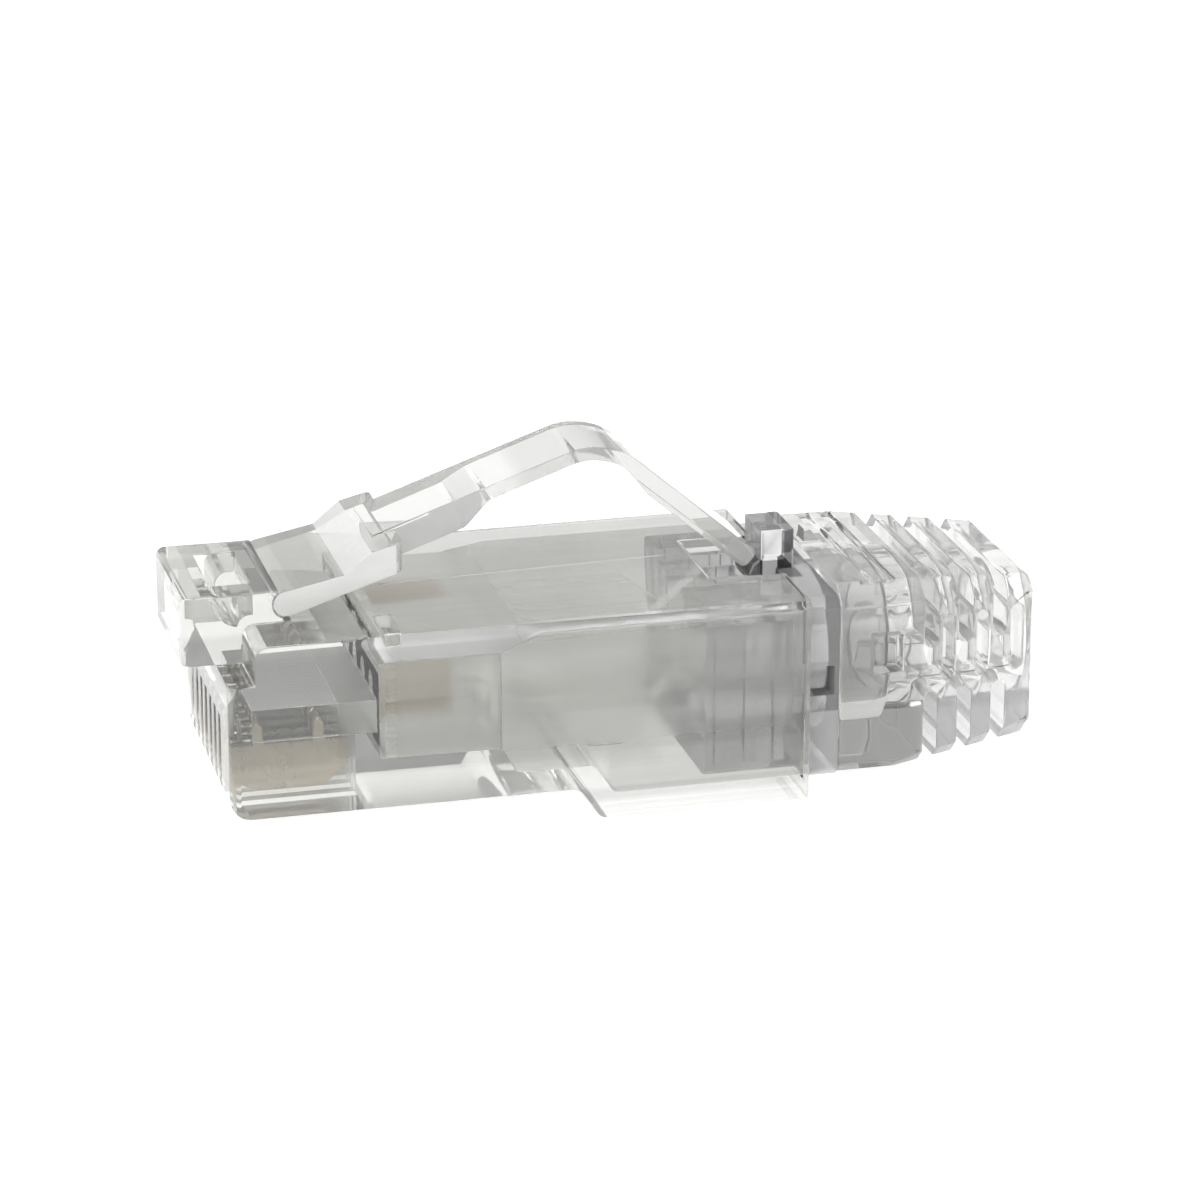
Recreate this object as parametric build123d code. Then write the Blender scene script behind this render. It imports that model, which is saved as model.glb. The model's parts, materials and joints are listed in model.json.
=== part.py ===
"""Clear modular plug for eight wires, with an arched latch, a wire guide, a collar and a ribbed boot.

Sizes are in millimetres.  While a piece is drawn, X runs from the front of the latch pedestal
towards the cable, Y runs across the plug and Z runs up from the contact side of the nose.
export_part() then moves the whole plug so that it rests on Z = 0 under the middle of its length.
"""

import os
from math import cos, radians, sin, tan

from build123d import *

# Mating size of the plug, which its socket sets
plug_width = 11.68
body_height = 6.7
nose_drop = 1.5
nose_front = 1.25
nose_step = 1.0
nose_bottom_radius = 0.75
nose_corner_radius = 0.4
shoulder_radius = 0.5
rail_start = 5.5
rail_widest = 7.6
rail_drop = 0.38
rail_inset = 0.2
rail_end_share = 0.3
rail_tip_share = 0.25

# Pedestal that carries the latch
pedestal_width = 6.4
pedestal_rise = 1.15
pedestal_length = 3.8
pedestal_corner_radius = 0.5
pedestal_top_radius = 0.3
pocket_front = 1.32
pocket_length = 1.53
pocket_width = 3.76
pocket_depth = 1.6
pocket_floor_radius = 1.1

# Rear of the housing
housing_length = 23.4
belly_depth = 1.25
belly_length = 9.0
belly_slope_run = 0.85
belly_radius = 0.5
rear_ceiling_wall = 0.6
belly_floor_wall = 0.7
side_wall = 0.99
tail_slot_width = 4.8
tail_slot_length = 2.75
tail_slot_chamfer = 0.25
chamber_ceiling_run = 1.6
chamber_floor_run = 0.6
chamber_radius = 0.3
front_floor_wall = 0.6
snap_window_start = 0.15
snap_window_length = 0.62
snap_window_width = 2.0
snap_window_edge = 0.4
snap_window_depth = 0.5

# Contacts and the slots that hold them
contact_count = 8
contact_pitch = 1.02
contact_thickness = 0.35
contact_side_gap = 0.03
contact_front = 1.5
contact_length = 4.4
contact_bottom = 0.5
contact_body_height = 1.85
contact_tooth_height = 0.85
contact_tooth_width = 0.42
contact_tooth_inset = 1.05
contact_nose_radius = 1.2
contact_heel_length = 0.9
contact_heel_rise = 0.8
slot_end_gap = 0.3
slot_ceiling = 2.5
front_slot_ceiling = 3.4
front_slot_depth = 0.7

# Row of wires above the contacts
wire_row_front = 2.3
wire_row_height = 1.3

# Load bar that holds the wire ends
load_bar_front = 7.0
load_bar_length = 4.6
load_bar_width = 9.3
load_bar_bottom = 1.7
load_bar_height = 3.6
load_bar_seat_gap = 0.08
load_bar_edge = 0.35
wire_hole_radius = 0.48
wire_hole_stagger = 1.12
wire_hole_lead = 0.22

# Cross-shaped guide that keeps the pairs apart
guide_gap = 0.15
guide_wall = 0.7
guide_nose_length = 2.0
guide_nose_share = 0.45
guide_corner_radius = 0.3
guide_tip_radius = 0.2

# Cable opening
cable_bore_radius = 2.5
cable_axis_height = 3.15

# Collar that locks into the back of the housing
collar_gap = 0.08
collar_insertion = 3.8
collar_side_recess = 0.28
collar_rib_count = 3
collar_rib_width = 0.45
collar_rib_pitch = 1.15
collar_rib_start = 0.3
collar_rib_inset = 0.6
neck_length = 1.4
neck_width = 10.0
neck_bottom = -0.8
neck_top_drop = 0.25
neck_radius = 0.5
neck_pocket_start = 0.2
neck_pocket_length = 1.0
neck_pocket_height = 1.15
neck_pocket_depth = 0.8
spigot_length = 2.5
spigot_wall = 0.5
key_width = 2.34
key_length = 1.35
key_rise = 1.3
key_radius = 0.15
key_tail_gap = 0.3
tail_notch_depth = 0.6

# Boot behind the collar
boot_body_length = 3.44
boot_width = 10.2
boot_bottom = -0.7
boot_top_rise = 0.1
boot_top_cut = 0.8
boot_bottom_cut = 0.4
boot_rib_count = 3
boot_rib_length = 0.87
boot_slot_length = 0.6
boot_tail_extra = 0.3
boot_rear_width = 7.8
boot_rear_bottom = -0.4
boot_rear_top_drop = 0.5
boot_rear_top_cut = 0.5
boot_rear_bottom_cut = 0.8
boot_rear_radius = 0.3
boot_taper_start = 2.3
boot_seat_gap = 0.05
boot_web_height = 1.9
boot_window_height = 2.6
boot_window_length = 0.5
boot_window_rise = 0.78
boot_side_pocket_start = 1.35
boot_side_pocket_length = 1.15
boot_side_pocket_bottom = 3.3
boot_side_pocket_height = 1.45
boot_side_pocket_depth = 0.8
boot_groove_width = 0.45
boot_groove_depth = 0.25
boot_groove_start = 1.0
boot_groove_count = 2
boot_slot_end_flat = 0.02

# Latch lever: the wide plate with the two locking shoulders
hinge_radius = 0.5
hinge_gap = 0.05
hinge_offset = 0.15
hinge_rise = 0.66
plate_underside_slope = 18.06
plate_top_slope = 11.4
ramp_front = 6.13
shoulder_rise_front = 7.16
latch_shoulder = 8.35
shoulder_front_rise = 2.45
shoulder_rise = 2.75
shoulder_corner = 0.25

# Latch arm, peak and tail, measured along the top of the arm from the back of the shoulders.
# The arm and the leg meet where their slopes lead from the arm's start to the tail's tip.
arm_width = 3.6
arm_top_x = 8.25
arm_top_rise = 2.87
arm_slope = 19.3
arm_thickness = 1.16
flex_thickness = 0.53
flex_pivot = 2.0
arm_root_share = 0.7
flex_start = 2.56
flex_ramp = 1.17
peak_radius = 2.6
leg_slope = 40.3
tail_tip_rise = 0.7
tail_tip_inset = 0.95
leg_thickness = 0.79
leg_flex_length = 1.6
leg_ramp = 1.25
ramp_radius = 0.4
ramp_root_radius = 0.3
tail_tip_radius = 0.25

# Places that follow from the sizes above
nose_height = body_height - nose_drop
pedestal_height = body_height + pedestal_rise
hinge_height = body_height + hinge_rise
shoulder_front_height = body_height + shoulder_front_rise
shoulder_height = body_height + shoulder_rise
arm_top_z = body_height + arm_top_rise
neck_top = body_height - neck_top_drop
boot_top = body_height + boot_top_rise
boot_rear_top = body_height - boot_rear_top_drop
belly_start = housing_length - belly_length
tail_slot_front = housing_length - tail_slot_length
key_top = body_height + key_rise
shoulder_front = nose_front + nose_step
cavity_floor = belly_floor_wall - belly_depth
cavity_ceiling = body_height - rear_ceiling_wall
cavity_width = plug_width - 2 * side_wall
tail_notch_floor = cavity_ceiling - tail_notch_depth
load_bar_back = load_bar_front + load_bar_length
load_bar_middle = load_bar_bottom + load_bar_height / 2
slot_back = contact_front + contact_length + slot_end_gap
collar_front = housing_length - collar_insertion
neck_back = housing_length + neck_length
boot_pitch = boot_rib_length + boot_slot_length
boot_length = boot_body_length + boot_rib_count * boot_pitch + boot_tail_extra
boot_back = neck_back + boot_length
hinge_x = pedestal_length + hinge_offset
flex_end = flex_start + flex_ramp
mid_length = boot_back / 2

# Reach of the arm and the leg, from the two slopes and the place of the tail's tip
tail_reach = housing_length - tail_tip_inset - arm_top_x
tail_drop = arm_top_rise - tail_tip_rise
arm_angle = radians(arm_slope)
leg_angle = radians(leg_slope)
arm_to_peak = (tail_reach * sin(leg_angle) - tail_drop * cos(leg_angle)) / sin(arm_angle + leg_angle)
leg_length = (tail_reach * sin(arm_angle) + tail_drop * cos(arm_angle)) / sin(arm_angle + leg_angle)


def outline(corners):
    """Face inside a closed outline whose corners are (across, up, corner radius)."""
    points = [(across, up) for across, up, _ in corners]
    radii = [radius for _, _, radius in corners]
    return make_face(FilletPolyline(*points, radius=radii, close=True))


def side_slab(corners, width, middle=0.0):
    """Solid drawn from the side in X and Z, as wide as given about the Y place of its middle."""
    face = Plane.XZ * outline(corners)
    return Pos(0, middle, 0) * extrude(face, amount=width / 2, both=True)


def plan_slab(corners, low, high):
    """Solid drawn from above in X and Y, between two heights."""
    return extrude(Plane.XY.offset(low) * outline(corners), amount=high - low)


def section(x, width, low, high, top_cut, bottom_cut):
    """Face across the plug at a place along X, with its four corners cut at 45 degrees."""
    half = width / 2
    corners = [
        (-half, low + bottom_cut, 0),
        (-half + bottom_cut, low, 0),
        (half - bottom_cut, low, 0),
        (half, low + bottom_cut, 0),
        (half, high - top_cut, 0),
        (half - top_cut, high, 0),
        (-half + top_cut, high, 0),
        (-half, high - top_cut, 0),
    ]
    return Plane.YZ.offset(x) * outline(corners)


def block(x_range, y_range, z_range):
    """Plain box between two places on each axis."""
    low = Vector(x_range[0], y_range[0], z_range[0])
    high = Vector(x_range[1], y_range[1], z_range[1])
    size = high - low
    return Pos(*((low + high) * 0.5)) * Box(size.X, size.Y, size.Z)


def cross_rod(x, z, radius, width):
    """Round bar that lies across the plug."""
    return Pos(x, 0, z) * Rot(90, 0, 0) * Cylinder(radius, width)


def length_rod(radius, x_range, y=0.0, z=cable_axis_height):
    """Round bar that lies along the plug."""
    length = x_range[1] - x_range[0]
    return Pos((x_range[0] + x_range[1]) / 2, y, z) * Rot(0, 90, 0) * Cylinder(radius, length)


def contact_places():
    """Y place of each contact, from the near side."""
    half = (contact_count - 1) / 2
    return [(index - half) * contact_pitch for index in range(contact_count)]


def arm_point(distance, depth):
    """Point at a distance along the arm's top line and a depth under it, as X and Z."""
    slope = radians(arm_slope)
    x = arm_top_x + distance * cos(slope) + depth * sin(slope)
    z = arm_top_z + distance * sin(slope) - depth * cos(slope)
    return x, z


def leg_point(distance, depth):
    """Point at a distance down the leg from the peak's corner and a depth under its top line."""
    slope = radians(leg_slope)
    peak_x, peak_z = arm_point(arm_to_peak, 0)
    x = peak_x + distance * cos(slope) - depth * sin(slope)
    z = peak_z - distance * sin(slope) - depth * cos(slope)
    return x, z


def peak_underside():
    """Corner where the thin undersides of the arm and the leg would meet."""
    half_turn = radians((arm_slope + leg_slope) / 2)
    return arm_point(arm_to_peak - flex_thickness * tan(half_turn), flex_thickness)


def make_outer_body():
    """Nose, main body and belly, without anything cut into them."""
    belly_back = belly_start + belly_slope_run
    body = side_slab(
        [
            (nose_front, 0, nose_bottom_radius),
            (belly_start, 0, belly_radius),
            (belly_back, -belly_depth, belly_radius),
            (housing_length, -belly_depth, 0),
            (housing_length, body_height, 0),
            (shoulder_front, body_height, shoulder_radius),
            (shoulder_front, nose_height, 0),
            (nose_front, nose_height, 0),
        ],
        plug_width,
    )
    half = plug_width / 2
    plan = plan_slab(
        [
            (nose_front, -half, nose_corner_radius),
            (housing_length, -half, 0),
            (housing_length, half, 0),
            (nose_front, half, nose_corner_radius),
        ],
        -belly_depth,
        body_height,
    )
    return body & plan


def rail_section(x, share):
    """Triangle to cut from a long top edge at a place along X, as a share of its widest size."""
    half = plug_width / 2
    corners = [
        (half, body_height, 0),
        (half - rail_inset * share, body_height, 0),
        (half, body_height - rail_drop * share, 0),
    ]
    return Plane.YZ.offset(x) * outline(corners)


def cut_long_edges(body):
    """Bevel the two long top edges in a thin wedge that is widest beside the latch."""
    tip = rail_section(rail_start, rail_tip_share)
    widest = rail_section(rail_widest, 1)
    end = rail_section(housing_length, rail_end_share)
    edge = loft([tip, widest]) + loft([widest, end])
    return body - edge - mirror(edge, Plane.XZ)


def make_pedestal():
    """Block at the nose that carries the latch, with its open pocket on top."""
    half = pedestal_width / 2
    profile = side_slab(
        [
            (0, nose_height, 0),
            (pedestal_length, nose_height, 0),
            (pedestal_length, pedestal_height, 0),
            (0, pedestal_height, pedestal_top_radius),
        ],
        pedestal_width,
    )
    plan = plan_slab(
        [
            (0, -half, pedestal_corner_radius),
            (pedestal_length, -half, 0),
            (pedestal_length, half, 0),
            (0, half, pedestal_corner_radius),
        ],
        nose_height,
        pedestal_height,
    )
    floor = pedestal_height - pocket_depth
    pocket = side_slab(
        [
            (pocket_front, floor, pocket_floor_radius),
            (pocket_front + pocket_length, floor, 0),
            (pocket_front + pocket_length, pedestal_height, 0),
            (pocket_front, pedestal_height, 0),
        ],
        pocket_width,
    )
    seat = cross_rod(hinge_x, hinge_height, hinge_radius + hinge_gap, pedestal_width)
    return (profile & plan) - pocket - seat


def make_contact_slots():
    """Narrow slots for the contacts, open below and at the front of the nose."""
    width = contact_thickness + 2 * contact_side_gap
    corners = [
        (nose_front, 0, 0),
        (slot_back, 0, 0),
        (slot_back, slot_ceiling, 0),
        (nose_front + front_slot_depth, slot_ceiling, 0),
        (nose_front + front_slot_depth, front_slot_ceiling, 0),
        (nose_front, front_slot_ceiling, 0),
    ]
    return [side_slab(corners, width, place) for place in contact_places()]


def chamber_floor(gap):
    """Corners along the floor of the cable chamber, from the load bar to the belly, raised by a gap."""
    ramp_back = belly_start + belly_slope_run + belly_floor_wall
    ramp_run = (front_floor_wall - cavity_floor) * belly_slope_run / belly_depth
    return [
        (load_bar_back + gap, load_bar_bottom - load_bar_seat_gap + gap, 0),
        (load_bar_back + chamber_floor_run + gap, front_floor_wall + gap, chamber_radius),
        (ramp_back - ramp_run + gap, front_floor_wall + gap, chamber_radius),
        (ramp_back + gap, cavity_floor + gap, chamber_radius),
    ]


def make_cavity():
    """Hollow of the housing: wire row, seat of the load bar, funnel and cable chamber."""
    seat_gap = load_bar_seat_gap
    row_width = contact_count * contact_pitch
    wire_row = block(
        (wire_row_front, load_bar_front),
        (-row_width / 2, row_width / 2),
        (slot_ceiling, slot_ceiling + wire_row_height),
    )
    bar_floor = load_bar_bottom - seat_gap
    bar_ceiling = load_bar_bottom + load_bar_height + seat_gap
    seat = side_slab(
        [
            (load_bar_front, bar_floor, 0),
            (load_bar_back, bar_floor, 0),
            (load_bar_back, bar_ceiling, 0),
            (load_bar_front, bar_ceiling, 0),
        ],
        load_bar_width + 2 * seat_gap,
    )
    chamber = side_slab(
        [
            *chamber_floor(0),
            (housing_length, cavity_floor, 0),
            (housing_length, cavity_ceiling, 0),
            (load_bar_back + chamber_ceiling_run, cavity_ceiling, 0),
            (load_bar_back, bar_ceiling, 0),
        ],
        cavity_width,
    )
    return [wire_row, seat, chamber]


def make_tail_slot():
    """Slot in the rear of the top wall, bevelled in front, into which the tail of the latch dips."""
    return side_slab(
        [
            (tail_slot_front, cable_axis_height, 0),
            (housing_length, cable_axis_height, 0),
            (housing_length, body_height, 0),
            (tail_slot_front - tail_slot_chamfer, body_height, 0),
            (tail_slot_front, body_height - tail_slot_chamfer, 0),
        ],
        tail_slot_width,
    )


def make_snap_windows():
    """Shallow pocket in each raised shoulder, over the front of the load bar."""
    start = load_bar_front + snap_window_start
    outer = plug_width / 2 - snap_window_edge
    window = block(
        (start, start + snap_window_length),
        (outer - snap_window_width, outer),
        (body_height - snap_window_depth, body_height),
    )
    return [window, mirror(window, Plane.XZ)]


def make_housing():
    """The clear moulding that holds everything else."""
    body = cut_long_edges(make_outer_body())
    body += make_pedestal()
    for hollow in make_contact_slots() + make_cavity() + make_snap_windows():
        body -= hollow
    return body - make_tail_slot()


def make_contact(place):
    """One gold-plated blade with its pointed teeth, standing in its slot."""
    back = contact_front + contact_length
    top = contact_bottom + contact_body_height
    tip = top + contact_tooth_height
    half = contact_tooth_width / 2
    corners = [
        (contact_front, contact_bottom, contact_nose_radius),
        (back - contact_heel_length, contact_bottom, 0),
        (back, contact_bottom + contact_heel_rise, 0),
        (back, top, 0),
    ]
    for middle in (back - contact_tooth_inset, contact_front + contact_tooth_inset):
        corners += [
            (middle + half, top, 0),
            (middle + half, tip - half, 0),
            (middle, tip, 0),
            (middle - half, tip - half, 0),
            (middle - half, top, 0),
        ]
    corners.append((contact_front, top, 0))
    return side_slab(corners, contact_thickness, place)


def make_load_bar():
    """Bar with two staggered rows of wire holes, each with a flared mouth."""
    low = load_bar_bottom
    high = load_bar_bottom + load_bar_height
    bar = side_slab(
        [
            (load_bar_front, low, load_bar_edge),
            (load_bar_back, low, 0),
            (load_bar_back, high, 0),
            (load_bar_front, high, load_bar_edge),
        ],
        load_bar_width,
    )
    for number, place in enumerate(contact_places()):
        offset = wire_hole_stagger / 2 if number % 2 else -wire_hole_stagger / 2
        height = load_bar_middle + offset
        bar -= length_rod(wire_hole_radius, (load_bar_front, load_bar_back), place, height)
        mouth = Plane(origin=(load_bar_back, place, height), z_dir=(-1, 0, 0)) * Cone(
            wire_hole_radius + wire_hole_lead,
            wire_hole_radius,
            2 * wire_hole_lead,
            align=(Align.CENTER, Align.CENTER, Align.MIN),
        )
        bar -= mouth
    return bar


def make_pair_guide():
    """Cross-shaped guide between the load bar and the collar, with a tapered nose at the cable."""
    front = load_bar_back + guide_gap
    back = collar_front - guide_gap
    nose = back - guide_nose_length
    high = cavity_ceiling - guide_gap
    middle = cable_axis_height
    half = cavity_width / 2 - guide_gap
    reach = guide_nose_share * (high - middle)
    front_high = load_bar_bottom + load_bar_height
    upright = side_slab(
        [
            *chamber_floor(guide_gap),
            (nose, cavity_floor + guide_gap, guide_corner_radius),
            (back, middle - reach, guide_tip_radius),
            (back, middle + reach, guide_tip_radius),
            (nose, high, guide_corner_radius),
            (front + chamber_ceiling_run, high, 0),
            (front, front_high, 0),
        ],
        guide_wall,
    )
    shelf = plan_slab(
        [
            (front, -half, 0),
            (nose, -half, guide_corner_radius),
            (back, -reach, guide_tip_radius),
            (back, reach, guide_tip_radius),
            (nose, half, guide_corner_radius),
            (front, half, 0),
        ],
        middle - guide_wall / 2,
        middle + guide_wall / 2,
    )
    return upright + shelf


def make_collar():
    """Tinted collar: a ribbed shell in the housing, a neck, a spigot for the boot and a key."""
    half = cavity_width / 2 - collar_gap
    low = cavity_floor + collar_gap
    high = cavity_ceiling - collar_gap
    side = half - collar_side_recess
    shell = block((collar_front, housing_length), (-side, side), (low, high))
    shell = fillet(shell.edges().filter_by(Axis.X), neck_radius)
    for number in range(collar_rib_count):
        start = collar_front + collar_rib_start + number * collar_rib_pitch
        rib_heights = (low + collar_rib_inset, high - collar_rib_inset)
        shell += block((start, start + collar_rib_width), (-half, half), rib_heights)
    neck_sides = (-neck_width / 2, neck_width / 2)
    neck = block((housing_length, neck_back), neck_sides, (neck_bottom, neck_top))
    neck = fillet(neck.edges().filter_by(Axis.X), neck_radius)
    spigot_radius = cable_bore_radius + spigot_wall
    spigot = length_rod(spigot_radius, (neck_back, neck_back + spigot_length))
    key_front = leg_point(leg_length, 0)[0] + key_tail_gap
    key_sides = (-key_width / 2, key_width / 2)
    key_root = cable_axis_height + cable_bore_radius
    key = block((key_front, key_front + key_length), key_sides, (key_root, key_top))
    key = fillet(key.edges().filter_by(Axis.Z), key_radius)
    bore = length_rod(cable_bore_radius, (collar_front, neck_back + spigot_length))
    notch = block(
        (collar_front, key_front),
        (-tail_slot_width / 2, tail_slot_width / 2),
        (tail_notch_floor, high),
    )
    pocket = block(
        (housing_length + neck_pocket_start, housing_length + neck_pocket_start + neck_pocket_length),
        (neck_width / 2 - neck_pocket_depth, neck_width / 2),
        (cable_axis_height - neck_pocket_height / 2, cable_axis_height + neck_pocket_height / 2),
    )
    neck -= pocket
    neck -= mirror(pocket, Plane.XZ)
    return (shell - notch + neck + spigot + key) - bore


def boot_section(place):
    """Width, bottom, top, upper and lower corner cut of the boot at a distance behind its front."""
    share = max(0.0, (place - boot_taper_start) / (boot_length - boot_taper_start))
    return (
        boot_width + (boot_rear_width - boot_width) * share,
        boot_bottom + (boot_rear_bottom - boot_bottom) * share,
        boot_top + (boot_rear_top - boot_top) * share,
        boot_top_cut + (boot_rear_top_cut - boot_top_cut) * share,
        boot_bottom_cut + (boot_rear_bottom_cut - boot_bottom_cut) * share,
    )


def make_boot_slot(number):
    """Slot in front of one rib, cut from above and below, which leaves a web on each side."""
    start = neck_back + boot_body_length + number * boot_pitch
    reach = boot_width / 2
    web = boot_web_height / 2
    radius = (boot_slot_length - boot_slot_end_flat) / 2
    low = Plane.XZ * outline(
        [
            (start, boot_bottom, 0),
            (start + boot_slot_length, boot_bottom, 0),
            (start + boot_slot_length, cable_axis_height - web, radius),
            (start, cable_axis_height - web, radius),
        ]
    )
    high = Plane.XZ * outline(
        [
            (start, boot_top, 0),
            (start + boot_slot_length, boot_top, 0),
            (start + boot_slot_length, cable_axis_height + web, radius),
            (start, cable_axis_height + web, radius),
        ]
    )
    return [extrude(face, amount=reach, both=True) for face in (low, high)]


def make_boot_window(number):
    """Rounded window through both sides of one rib."""
    middle = neck_back + boot_body_length + (number + 1) * boot_pitch - boot_rib_length / 2
    slot = SlotOverall(boot_window_height, boot_window_length, rotation=90)
    face = Plane.XZ * Pos(middle, cable_axis_height + boot_window_rise) * slot
    return extrude(face, amount=boot_width / 2, both=True)


def make_boot():
    """Ribbed strain-relief boot, tapered towards the cable."""
    front, taper, rear = [
        section(neck_back + place, *boot_section(place)) for place in (0, boot_taper_start, boot_length)
    ]
    boot = loft([front, taper]) + loft([taper, rear])
    rear_edges = boot.faces().sort_by(Axis.X)[-1].edges()
    boot = fillet(rear_edges, boot_rear_radius)
    spigot_radius = cable_bore_radius + spigot_wall + boot_seat_gap
    boot -= length_rod(spigot_radius, (neck_back, neck_back + spigot_length))
    boot -= length_rod(cable_bore_radius, (neck_back, boot_back))
    for number in range(boot_rib_count):
        for slot in make_boot_slot(number):
            boot -= slot
        boot -= make_boot_window(number)
    for number in range(boot_groove_count):
        start = neck_back + boot_groove_start + number * 2 * boot_groove_width
        boot -= block(
            (start, start + boot_groove_width),
            (-boot_width / 2 + boot_top_cut, boot_width / 2 - boot_top_cut),
            (boot_top - boot_groove_depth, boot_top),
        )
    pocket_start = neck_back + boot_side_pocket_start
    pocket = block(
        (pocket_start, pocket_start + boot_side_pocket_length),
        (boot_width / 2 - boot_side_pocket_depth, boot_width / 2),
        (boot_side_pocket_bottom, boot_side_pocket_bottom + boot_side_pocket_height),
    )
    return boot - pocket - mirror(pocket, Plane.XZ)


def make_latch_lever():
    """Wide plate on the hinge with its locking shoulders, and the thick root of the arm."""
    slope = radians(plate_underside_slope)
    under_x = hinge_x + hinge_radius * sin(slope)
    under_z = hinge_height - hinge_radius * cos(slope)
    shoulder_under = under_z + (latch_shoulder - under_x) * tan(slope)
    top_slope = radians(plate_top_slope)
    top_x = hinge_x - hinge_radius * sin(top_slope)
    top_z = hinge_height + hinge_radius * cos(top_slope)
    ramp_z = top_z + (ramp_front - top_x) * tan(top_slope)
    plate = side_slab(
        [
            (hinge_x, hinge_height, 0),
            (under_x, under_z, 0),
            (latch_shoulder, shoulder_under, 0),
            (latch_shoulder, shoulder_height, 0),
            (shoulder_rise_front, shoulder_front_height, 0),
            (ramp_front, ramp_z, 0),
            (top_x, top_z, 0),
        ],
        pedestal_width,
    )
    plate += cross_rod(hinge_x, hinge_height, hinge_radius, pedestal_width)
    half = pedestal_width / 2
    plan = plan_slab(
        [
            (hinge_x - hinge_radius, -half, 0),
            (latch_shoulder, -half, shoulder_corner),
            (latch_shoulder, half, shoulder_corner),
            (hinge_x - hinge_radius, half, 0),
        ],
        hinge_height - hinge_radius,
        shoulder_height,
    )
    arm_root = (shoulder_rise_front - latch_shoulder) * arm_root_share
    arm = side_slab(
        [
            (*arm_point(arm_root, 0), 0),
            (*arm_point(flex_pivot, 0), 0),
            (*arm_point(flex_pivot, arm_thickness), 0),
            (*arm_point(arm_root, arm_thickness), 0),
        ],
        arm_width,
    )
    socket_radius = arm_thickness / 2 + hinge_gap
    socket = cross_rod(*arm_point(flex_pivot, arm_thickness / 2), socket_radius, arm_width)
    return (plate & plan) + (arm - socket)


def make_latch_tail():
    """Thin flexing arm, rounded peak and thicker leg whose tip stands over the tail slot."""
    tail = side_slab(
        [
            (*arm_point(flex_pivot, 0), 0),
            (*arm_point(arm_to_peak, 0), peak_radius),
            (*leg_point(leg_length, 0), tail_tip_radius),
            (*leg_point(leg_length, leg_thickness), tail_tip_radius),
            (*leg_point(leg_flex_length + leg_ramp, leg_thickness), ramp_radius),
            (*leg_point(leg_flex_length, flex_thickness), ramp_radius),
            (*peak_underside(), peak_radius - flex_thickness),
            (*arm_point(flex_end, flex_thickness), ramp_radius),
            (*arm_point(flex_start, arm_thickness), ramp_root_radius),
            (*arm_point(flex_pivot, arm_thickness), 0),
        ],
        arm_width,
    )
    root = cross_rod(*arm_point(flex_pivot, arm_thickness / 2), arm_thickness / 2, arm_width)
    return tail + root


def make_pieces():
    """Every piece of the plug by name."""
    pieces = {
        "housing": make_housing(),
        "latch_lever": make_latch_lever(),
        "latch_tail": make_latch_tail(),
        "load_bar": make_load_bar(),
        "pair_guide": make_pair_guide(),
        "collar": make_collar(),
        "boot": make_boot(),
    }
    for number, place in enumerate(contact_places(), start=1):
        pieces[f"contact_{number}"] = make_contact(place)
    return pieces


def export_part():
    """Move the plug onto its rest plane and write one file for each piece."""
    os.makedirs("parts", exist_ok=True)
    move = Pos(-mid_length, 0, belly_depth)
    for name, piece in make_pieces().items():
        export_step(move * piece, f"parts/{name}.step")
    pivot_x, pivot_z = arm_point(flex_pivot, arm_thickness / 2)
    print("lever hinge", round(hinge_x - mid_length, 4), round(hinge_height + belly_depth, 4))
    print("flex pivot", round(pivot_x - mid_length, 4), round(pivot_z + belly_depth, 4))
    print("length", round(boot_back, 4))


if __name__ == "__main__":
    export_part()
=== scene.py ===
"""Clear modular plug with an arched latch, dressed as it looks in a plain studio.

Every length is in metres, in the same frame as the solids: X runs from the nose towards the
cable, Y runs across the plug and Z runs up from the surface that it stands on. Only the levels of
painted shade and the boxes inside which light is painted or the finish changes are in millimetres.
"""

import json
import logging
from collections.abc import Callable, Sequence
from dataclasses import dataclass, field
from enum import Enum
from math import cos, radians, sin, tan

import bpy
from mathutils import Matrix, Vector


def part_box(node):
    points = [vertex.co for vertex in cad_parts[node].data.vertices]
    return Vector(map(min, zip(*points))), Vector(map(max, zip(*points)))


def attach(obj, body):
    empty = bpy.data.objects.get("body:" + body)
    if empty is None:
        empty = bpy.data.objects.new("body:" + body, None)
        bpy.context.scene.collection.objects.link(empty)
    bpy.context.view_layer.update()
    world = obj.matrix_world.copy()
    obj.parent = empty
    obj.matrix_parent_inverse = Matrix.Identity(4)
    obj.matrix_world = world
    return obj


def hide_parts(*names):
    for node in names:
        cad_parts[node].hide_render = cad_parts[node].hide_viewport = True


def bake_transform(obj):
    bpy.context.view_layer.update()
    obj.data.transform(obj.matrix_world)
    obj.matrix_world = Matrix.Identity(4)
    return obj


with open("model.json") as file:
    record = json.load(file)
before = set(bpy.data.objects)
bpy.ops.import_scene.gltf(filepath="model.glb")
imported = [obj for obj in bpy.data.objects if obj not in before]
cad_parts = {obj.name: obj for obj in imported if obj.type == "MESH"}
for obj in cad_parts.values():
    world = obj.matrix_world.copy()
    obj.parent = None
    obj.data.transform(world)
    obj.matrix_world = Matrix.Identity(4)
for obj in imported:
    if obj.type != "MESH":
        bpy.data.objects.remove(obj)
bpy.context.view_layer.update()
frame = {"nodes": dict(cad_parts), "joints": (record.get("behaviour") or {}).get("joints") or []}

MM = 0.001
log = logging.getLogger("plug")

Point = tuple[float, float]
Place = tuple[float, float, float]
Colour = tuple[float, float, float]
Cut = tuple[Place, Place]
ALONG = (1.0, 0.0, 0.0)
ACROSS = (0.0, 1.0, 0.0)
UP = (0.0, 0.0, 1.0)
MIDDLE = (0.0, 0.0, 0.0)

WELD = 0.001 * MM  # Points closer than this are one point
NEAR = 0.01 * MM  # Points closer than this are in line
FLAT = radians(0.4)  # Faces that turn less than this are one face

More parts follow.
